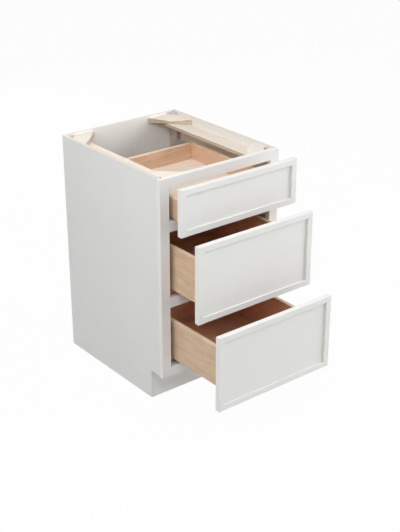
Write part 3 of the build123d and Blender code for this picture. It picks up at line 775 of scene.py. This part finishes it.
# ------------------------ operators
class CABINET_OT_finish_carcass(bpy.types.Operator):
    """Lacquer the outside of the carcass and coat the inside"""

    bl_idname = "cabinet.finish_carcass"
    bl_label = "Finish carcass"

    def execute(self, context):
        look = context.scene.cabinet_carcass
        lacquer = sprayed_lacquer(
            "satin_lacquer_frame", look.frame_paint, look.frame_shade, look.paint_roughness
        )
        stiles = [f"frame_stile_{hand}" for hand, _ in HANDS]
        rails = [f"frame_{rail}_rail" for rail in ("top", "upper_mid", "lower_mid", "bottom")]
        dress([*stiles, *rails, "toe_kick_board"], lacquer, look.eased_edge)
        sides = lacquered_side_ply("lacquered_side_plywood", look)
        dress(["side_panel_left", "side_panel_right"], sides, look.eased_edge)
        dress(["back_panel"], coated_back_ply("coated_back_plywood", look), look.eased_edge)
        # the cabinet floor takes the same warm tones of painted shade as the sides' inner faces below
        # the planks
        coat = (look.veneer_shade_light, look.veneer_shade_dark)
        edge = (look.ply_edge_light, look.ply_edge_dark)
        dress(["bottom_panel"], bare_plywood("coated_floor_plywood", "Z", "Y", PANEL_PLY, coat, edge))
        # the strips are darkened as painted shade
        bare = (look.strip_shade_light, look.strip_shade_dark)
        strip = bare_plywood("birch_plywood_strips", "X", "Z", STRIP_PLY, bare, bare)
        dress(["mounting_strip_left", "mounting_strip_right"], strip)
        return {"FINISHED"}


class CABINET_OT_finish_top_plywood(bpy.types.Operator):
    """Finish the planks and corner blocks at the top as sanded plywood"""

    bl_idname = "cabinet.finish_top_plywood"
    bl_label = "Finish planks and blocks"

    def execute(self, context):
        look = context.scene.cabinet_carcass
        face = (look.ply_light, look.ply_dark)
        edge = (look.ply_edge_light, look.ply_edge_dark)
        planks = bare_plywood("birch_plywood_planks", "Z", "Y", PANEL_PLY, face, edge)
        dress(["side_plank_left", "side_plank_right"], planks, look.eased_edge)
        # the blocks' clipped corners take a dark tone of painted shade
        cut_shade = {"cut_shade": look.ply_cut_shade}
        blocks = bare_plywood("birch_plywood_blocks", "Z", "X", BLOCK_PLY, face, edge, **cut_shade)
        corners = [f"corner_block_{end}_{hand}" for end in ("front", "rear") for hand, _ in HANDS]
        dress(corners, blocks, look.eased_edge)
        return {"FINISHED"}


class CABINET_OT_finish_fronts(bpy.types.Operator):
    """Lacquer the five-piece drawer fronts"""

    bl_idname = "cabinet.finish_fronts"
    bl_label = "Finish drawer fronts"

    def execute(self, context):
        look = context.scene.cabinet_fronts
        lacquer = sprayed_lacquer(
            "satin_lacquer_fronts", look.front_paint, look.front_shade, look.paint_roughness
        )
        dress(of_each_drawer("front_stiles", "front_rails"), lacquer, look.eased_edge)
        dress(of_each_drawer("front_panel"), lacquer)
        return {"FINISHED"}


class CABINET_OT_finish_drawers(bpy.types.Operator):
    """Finish the dovetailed drawer boxes as clear-coated maple with plywood floors"""

    bl_idname = "cabinet.finish_drawers"
    bl_label = "Finish drawer boxes"

    def execute(self, context):
        look = context.scene.cabinet_drawers
        for drawer in DRAWERS:
            # inside every drawer the tones are painted shade, darkest on the deep drawers' walls and
            # floor
            deep = drawer != "top"
            walls = (look.deep_shade_light, look.deep_shade_dark) if deep else (look.inner_shade_light, look.inner_shade_dark)
            face = (look.deep_floor_shade, look.deep_shade_dark) if deep else (look.floor_light, look.floor_dark)
            inner_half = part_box(f"{drawer}_box_side_right")[0].x
            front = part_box(f"{drawer}_box_front")[1].y
            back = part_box(f"{drawer}_box_back")[0].y
            planes = {
                "box_side_left": ("Y", ("X", inner_half + SKIN, "LESS_THAN", True)),
                "box_side_right": ("Y", ("X", inner_half + SKIN, "LESS_THAN", True)),
                "box_front": ("X", ("Y", front - SKIN, "GREATER_THAN")),
                "box_back": ("X", ("Y", back + SKIN, "LESS_THAN")),
            }
            for piece, (along, plane) in planes.items():
                name = f"clear_coated_maple_{drawer}_{piece}"
                dress([f"{drawer}_{piece}"], clear_coated_maple(name, along, look, walls, plane))
            low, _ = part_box(f"{drawer}_box_bottom")
            below = {"under": (low.z + SKIN, look.floor_light, look.floor_dark)}
            floor = f"maple_plywood_{drawer}_floor"
            plywood = bare_plywood(floor, "Z", "X", THIN_PLY, face, face, roughness=0.45, **below)
            dress([f"{drawer}_box_bottom"], plywood)
        return {"FINISHED"}


class CABINET_OT_finish_slides(bpy.types.Operator):
    """Finish the slides, brackets and locking clips"""

    bl_idname = "cabinet.finish_slides"
    bl_label = "Finish slides"

    def execute(self, context):
        look = context.scene.cabinet_hardware
        steel = zinc_plated_steel("zinc_plated_steel", look, look.slide_roughness)
        members = ("slide_cabinet_members", "slide_middle_members", "slide_drawer_members")
        dress(of_each_drawer(*members), steel)
        dress(["slide_rear_brackets"], steel)
        nylon = moulded_nylon("grey_moulded_nylon", look.nylon, look.nylon_shade)
        dress(of_each_drawer("locking_clips"), nylon)
        return {"FINISHED"}


class CABINET_OT_add_bumpers(bpy.types.Operator):
    """Stick a clear bumper behind each corner of each drawer front"""

    bl_idname = "cabinet.add_bumpers"
    bl_label = "Add bumpers"

    def execute(self, context):
        look = context.scene.cabinet_fronts
        points, faces = bumper_dot(look.bumper_radius, look.bumper_height)
        clear = clear_polyurethane("clear_cast_polyurethane", look.bumper_tint)
        for drawer in DRAWERS:
            low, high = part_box(f"{drawer}_front_stiles")
            inset = look.bumper_inset
            heights = (low.z + 2 * inset, high.z - 2 * inset)
            origins = [(x, high.y, z) for x in (low.x + inset, high.x - inset) for z in heights]
            placed = repeated(points, faces, placed_along((0, 1, 0), origins))
            new_piece(f"{drawer}_front_bumpers", *placed, clear, f"{drawer}_drawer", "grey_plastic")
        return {"FINISHED"}


class CABINET_OT_add_front_screws(bpy.types.Operator):
    """Replace the plain screws of the drawer fronts by cross-recessed pan-head screws"""

    bl_idname = "cabinet.add_front_screws"
    bl_label = "Add front screws"

    def execute(self, context):
        look = context.scene.cabinet_hardware
        steel = zinc_plated_steel("bright_zinc_front_screws", look, look.screw_roughness)
        radius = look.front_screw_head
        for drawer in DRAWERS:
            node = f"{drawer}_front_screws"
            low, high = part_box(node)
            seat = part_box(f"{drawer}_box_front")[1].y
            size = (radius, high.y - seat, look.screw_shank, seat - low.y, look.screw_pitch)
            heights = (low.z + radius, high.z - radius)
            origins = [(x, seat, z) for x in (low.x + radius, high.x - radius) for z in heights]
            places = placed_along((0.0, 1.0, 0.0), origins, step=SCREW_TURN)
            placed = repeated(*pan_head_screw(*size), places)
            piece = new_piece(f"{node}_detailed", *placed, steel, f"{drawer}_drawer", "zinc_steel")
            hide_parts(node)
        return {"FINISHED"}


class CABINET_OT_add_slide_screws(bpy.types.Operator):
    """Replace the plain screws of the slides by cross-recessed pan-head screws"""

    bl_idname = "cabinet.add_slide_screws"
    bl_label = "Add slide screws"

    def execute(self, context):
        look = context.scene.cabinet_hardware
        steel = zinc_plated_steel("bright_zinc_slide_screws", look, look.screw_roughness)
        radius = look.slide_screw_head
        size = (radius, look.slide_head_height, look.screw_shank, SLIDE_SCREW_LENGTH, look.screw_pitch)
        low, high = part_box("slide_screws")
        places = []
        for _, hand in HANDS:
            origins = []
            for drawer in DRAWERS:
                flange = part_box(f"{drawer}_slide_cabinet_members")[1]
                z = flange.z - FLANGE_MIDDLE
                origins.append((hand * (flange.x - FLANGE_STEEL), low.y + radius, z))
                origins.append((hand * flange.x, high.y - radius, z + HOLE_PITCH))
            places += placed_along((-hand, 0.0, 0.0), origins, step=SCREW_TURN)
        placed = repeated(*pan_head_screw(*size), places)
        piece = new_piece("slide_screws_detailed", *placed, steel, "cabinet", "zinc_steel")
        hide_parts("slide_screws")
        return {"FINISHED"}


class CABINET_OT_add_staples(bpy.types.Operator):
    """Staple the back to the sides and to the cabinet floor"""

    bl_idname = "cabinet.add_staples"
    bl_label = "Add staples"

    def execute(self, context):
        look = context.scene.cabinet_hardware
        wire = zinc_plated_steel("galvanised_staple_wire", look, look.staple_roughness)
        one = staple(look.staple_crown, look.staple_leg, look.staple_wire, look.staple_proud)
        low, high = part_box("back_panel")
        side_x = (high.x + SIDE_IN) / 2
        floor_z = sum(corner.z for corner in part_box("bottom_panel")) / 2
        margin = look.staple_margin
        heights = np.linspace(low.z + margin, high.z - margin, look.staples_upright)
        widths = np.linspace(low.x + margin, high.x - margin, look.staples_across)
        upright = [(hand * side_x, high.y, z) for _, hand in HANDS for z in heights]
        across = [(x, high.y, floor_z) for x in widths]
        outward = (0.0, 1.0, 0.0)
        places = placed_along(outward, upright) + placed_along(outward, across, (1.0, 0.0, 0.0))
        new_piece("back_staples", *repeated(*one, places), wire, "cabinet", "zinc_steel")
        return {"FINISHED"}


class CABINET_OT_light_studio(bpy.types.Operator):
    """Set the pale floor, the soft lights and the camera"""

    bl_idname = "cabinet.light_studio"
    bl_label = "Light studio"

    def execute(self, context):
        studio = context.scene.cabinet_studio
        add_floor(studio.floor_reach, studio.floor_colour, studio.floor_glow)
        light_world(studio.world_level)
        for name, layout in SOFTBOXES.items():
            add_softbox(f"softbox_{name}", *layout, getattr(studio, f"{name}_power"))
        add_camera(studio.lens)
        context.scene.view_settings.view_transform = "Standard"
        return {"FINISHED"}


class CABINET_PT_sidebar(bpy.types.Panel):
    """Lists the looks of the cabinet and the steps that build them"""

    bl_idname = "CABINET_PT_sidebar"
    bl_label = "Base cabinet"
    bl_space_type = "VIEW_3D"
    bl_region_type = "UI"
    bl_category = "Cabinet"

    def draw(self, context):
        for group in GROUPS:
            box = self.layout.box()
            for key in GROUPS[group].__annotations__:
                box.prop(getattr(context.scene, group), key)
        for operator in OPERATORS:
            self.layout.operator(operator.bl_idname)


GROUPS = {
    "cabinet_carcass": CabinetCarcassLook,
    "cabinet_fronts": CabinetFrontLook,
    "cabinet_drawers": CabinetDrawerLook,
    "cabinet_hardware": CabinetHardwareLook,
    "cabinet_studio": CabinetStudio,
}
OPERATORS = (
    CABINET_OT_finish_carcass,
    CABINET_OT_finish_top_plywood,
    CABINET_OT_finish_fronts,
    CABINET_OT_finish_drawers,
    CABINET_OT_finish_slides,
    CABINET_OT_add_bumpers,
    CABINET_OT_add_front_screws,
    CABINET_OT_add_slide_screws,
    CABINET_OT_add_staples,
    CABINET_OT_light_studio,
)
CLASSES = (*GROUPS.values(), *OPERATORS, CABINET_PT_sidebar)


def register():
    """Register every class and give the scene its groups of properties."""
    for each in CLASSES:
        bpy.utils.register_class(each)
    for group, kind in GROUPS.items():
        setattr(bpy.types.Scene, group, PointerProperty(type=kind))


def unregister():
    """Take the groups off the scene and unregister the classes in reverse."""
    for group in GROUPS:
        delattr(bpy.types.Scene, group)
    for each in reversed(CLASSES):
        bpy.utils.unregister_class(each)


def main():
    """Build every piece in order."""
    register()
    for operator in OPERATORS:
        family, name = operator.bl_idname.split(".")
        getattr(getattr(bpy.ops, family), name)()


if __name__ == "__main__":
    main()
